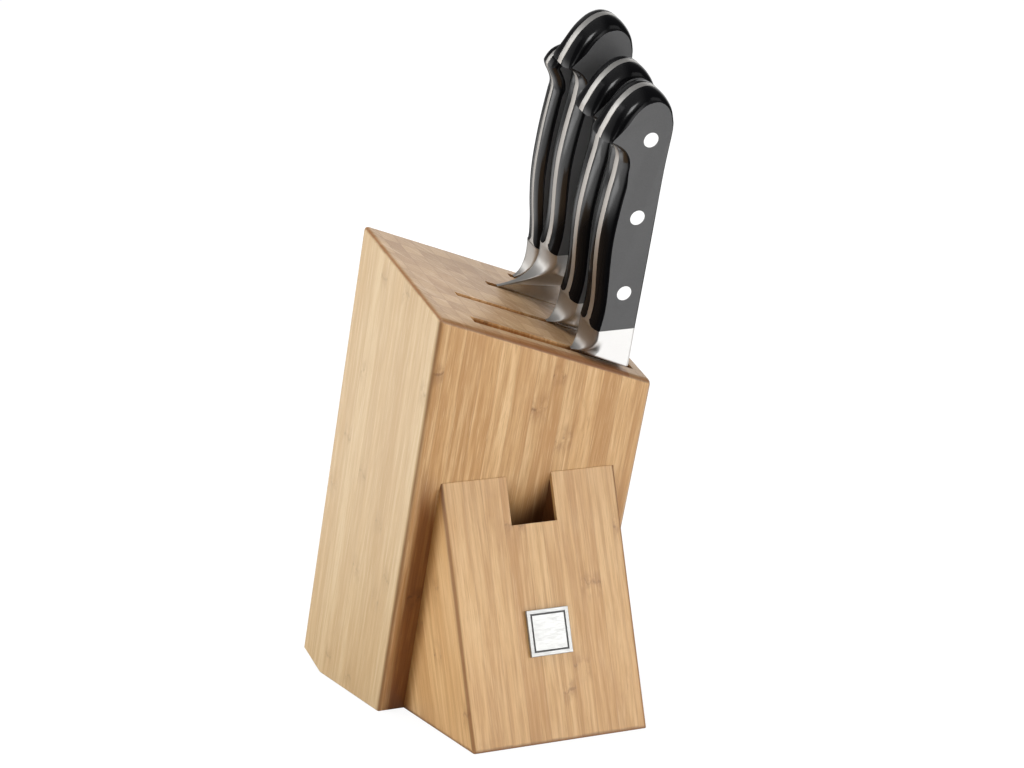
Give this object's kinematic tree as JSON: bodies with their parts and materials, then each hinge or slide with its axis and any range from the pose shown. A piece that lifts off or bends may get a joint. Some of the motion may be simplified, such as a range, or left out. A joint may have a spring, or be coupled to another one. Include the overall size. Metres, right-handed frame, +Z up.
{
  "type": "knife block with knives",
  "caption": "Leaning laminated bamboo knife block on a wedge foot with a shears pocket, holding forged riveted knives that lift out of its slots.",
  "frame": {"origin": "on the block's flat base, under the middle of the front divider board", "axes": "+Z up, +X to the right seen from the front, +Y towards the back; the block leans forward towards -Y"},
  "size_m": [0.1086, 0.1899, 0.3139],
  "materials": {
    "bamboo": "laminated bamboo, satin oiled",
    "scale_black": "black moulded scales, satin flat and glossy belly",
    "knife_steel": "satin ground stainless steel",
    "rivet_steel": "bright polished rivets",
    "badge_metal": "bright satin plate, plain"
  },
  "bodies": {
    "block": {"front_panel": "bamboo", "front_slot_left_strip": "bamboo", "front_slot_right_strip": "bamboo", "front_slot_floor": "bamboo", "front_divider": "bamboo", "second_slot_left_strip": "bamboo", "second_slot_right_strip": "bamboo", "middle_divider": "bamboo", "third_slot_left_strip": "bamboo", "third_slot_right_strip": "bamboo", "rear_divider": "bamboo", "rear_slot_left_strip": "bamboo", "rear_slot_right_strip": "bamboo", "back_panel": "bamboo", "foot_left_cheek": "bamboo", "foot_right_cheek": "bamboo", "foot_centre": "bamboo", "foot_pocket_floor": "bamboo", "badge_plate": "badge_metal"},
    "slicing_knife": {"slicing_knife_blade": "knife_steel", "slicing_knife_near_scale": "scale_black", "slicing_knife_far_scale": "scale_black", "slicing_knife_lower_rivet": "rivet_steel", "slicing_knife_middle_rivet": "rivet_steel", "slicing_knife_upper_rivet": "rivet_steel"},
    "utility_knife": {"utility_knife_blade": "knife_steel", "utility_knife_near_scale": "scale_black", "utility_knife_far_scale": "scale_black", "utility_knife_lower_rivet": "rivet_steel", "utility_knife_middle_rivet": "rivet_steel", "utility_knife_upper_rivet": "rivet_steel"},
    "cooks_knife": {"cooks_knife_blade": "knife_steel", "cooks_knife_near_scale": "scale_black", "cooks_knife_far_scale": "scale_black", "cooks_knife_lower_rivet": "rivet_steel", "cooks_knife_middle_rivet": "rivet_steel", "cooks_knife_upper_rivet": "rivet_steel"},
    "paring_knife": {"paring_knife_blade": "knife_steel", "paring_knife_near_scale": "scale_black", "paring_knife_far_scale": "scale_black", "paring_knife_lower_rivet": "rivet_steel", "paring_knife_middle_rivet": "rivet_steel", "paring_knife_upper_rivet": "rivet_steel"}
  },
  "joints": [
    {"name": "slicing_knife_lift", "type": "slide", "parent": "block", "child": "slicing_knife", "axis": [0, -0.3453, 0.9385], "range_m": [0, 0.18]},
    {"name": "utility_knife_lift", "type": "slide", "parent": "block", "child": "utility_knife", "axis": [0, -0.3453, 0.9385], "range_m": [0, 0.17]},
    {"name": "cooks_knife_lift", "type": "slide", "parent": "block", "child": "cooks_knife", "axis": [0, -0.3453, 0.9385], "range_m": [0, 0.215]},
    {"name": "paring_knife_lift", "type": "slide", "parent": "block", "child": "paring_knife", "axis": [0, -0.3453, 0.9385], "range_m": [0, 0.12]}
  ]
}
